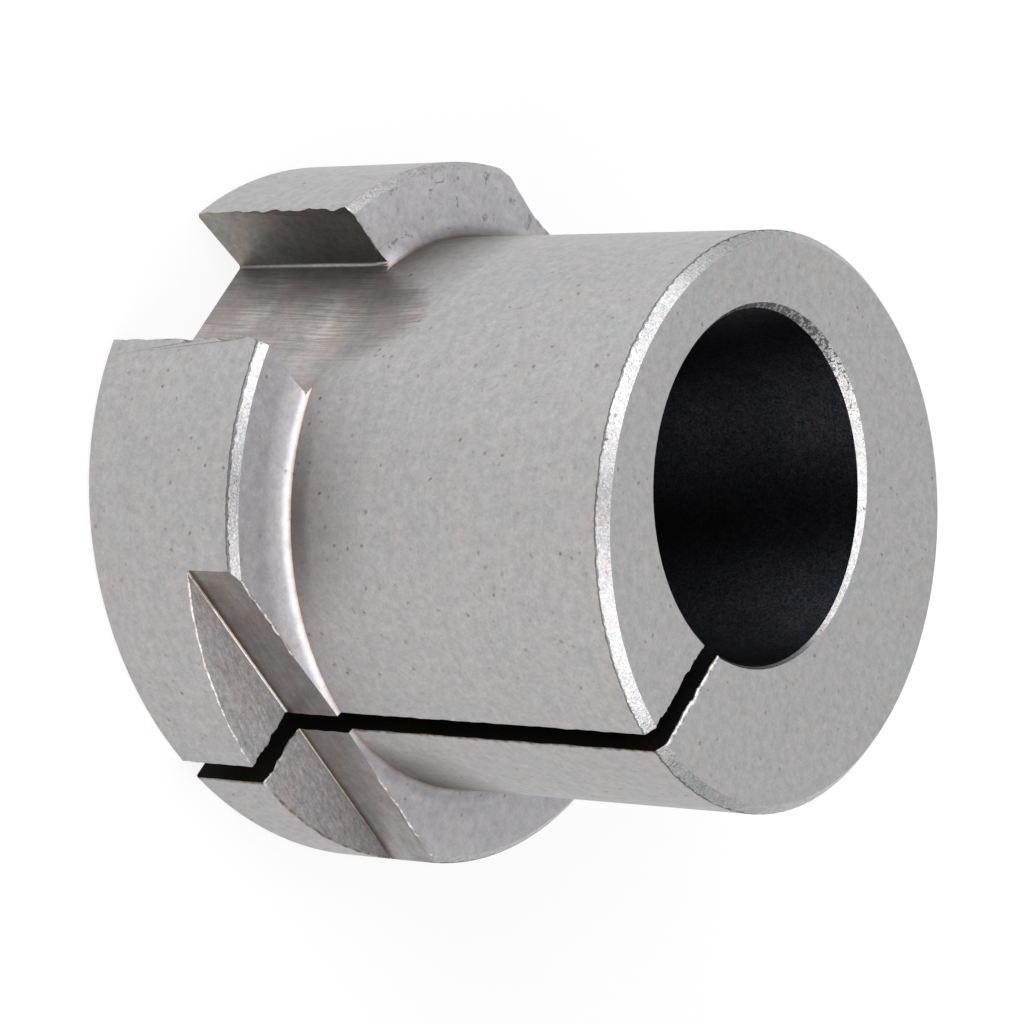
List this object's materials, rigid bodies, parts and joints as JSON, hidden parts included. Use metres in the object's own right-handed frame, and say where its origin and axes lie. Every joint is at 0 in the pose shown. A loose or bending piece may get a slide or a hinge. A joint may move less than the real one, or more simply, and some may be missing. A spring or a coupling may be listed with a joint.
{
  "type": "camber adjusting bushing",
  "caption": "Split steel sleeve with a leaning tapered bore and a wedge-shaped wrench flange, turned in the axle to set a wheel's camber at a ball joint.",
  "frame": {"origin": "middle of the bore's small end, on the nut face at the back of the flange", "axes": "+Z along the bore's axis, from the nut face towards the barrel's end; +X towards the flange's thick side, where its notch is; the slit is on the +Y side"},
  "size_m": [0.0453, 0.0445, 0.036],
  "materials": {
    "steel": "matt machined steel with fine pores"
  },
  "bodies": {
    "root": {"bushing": "steel"}
  },
  "joints": []
}
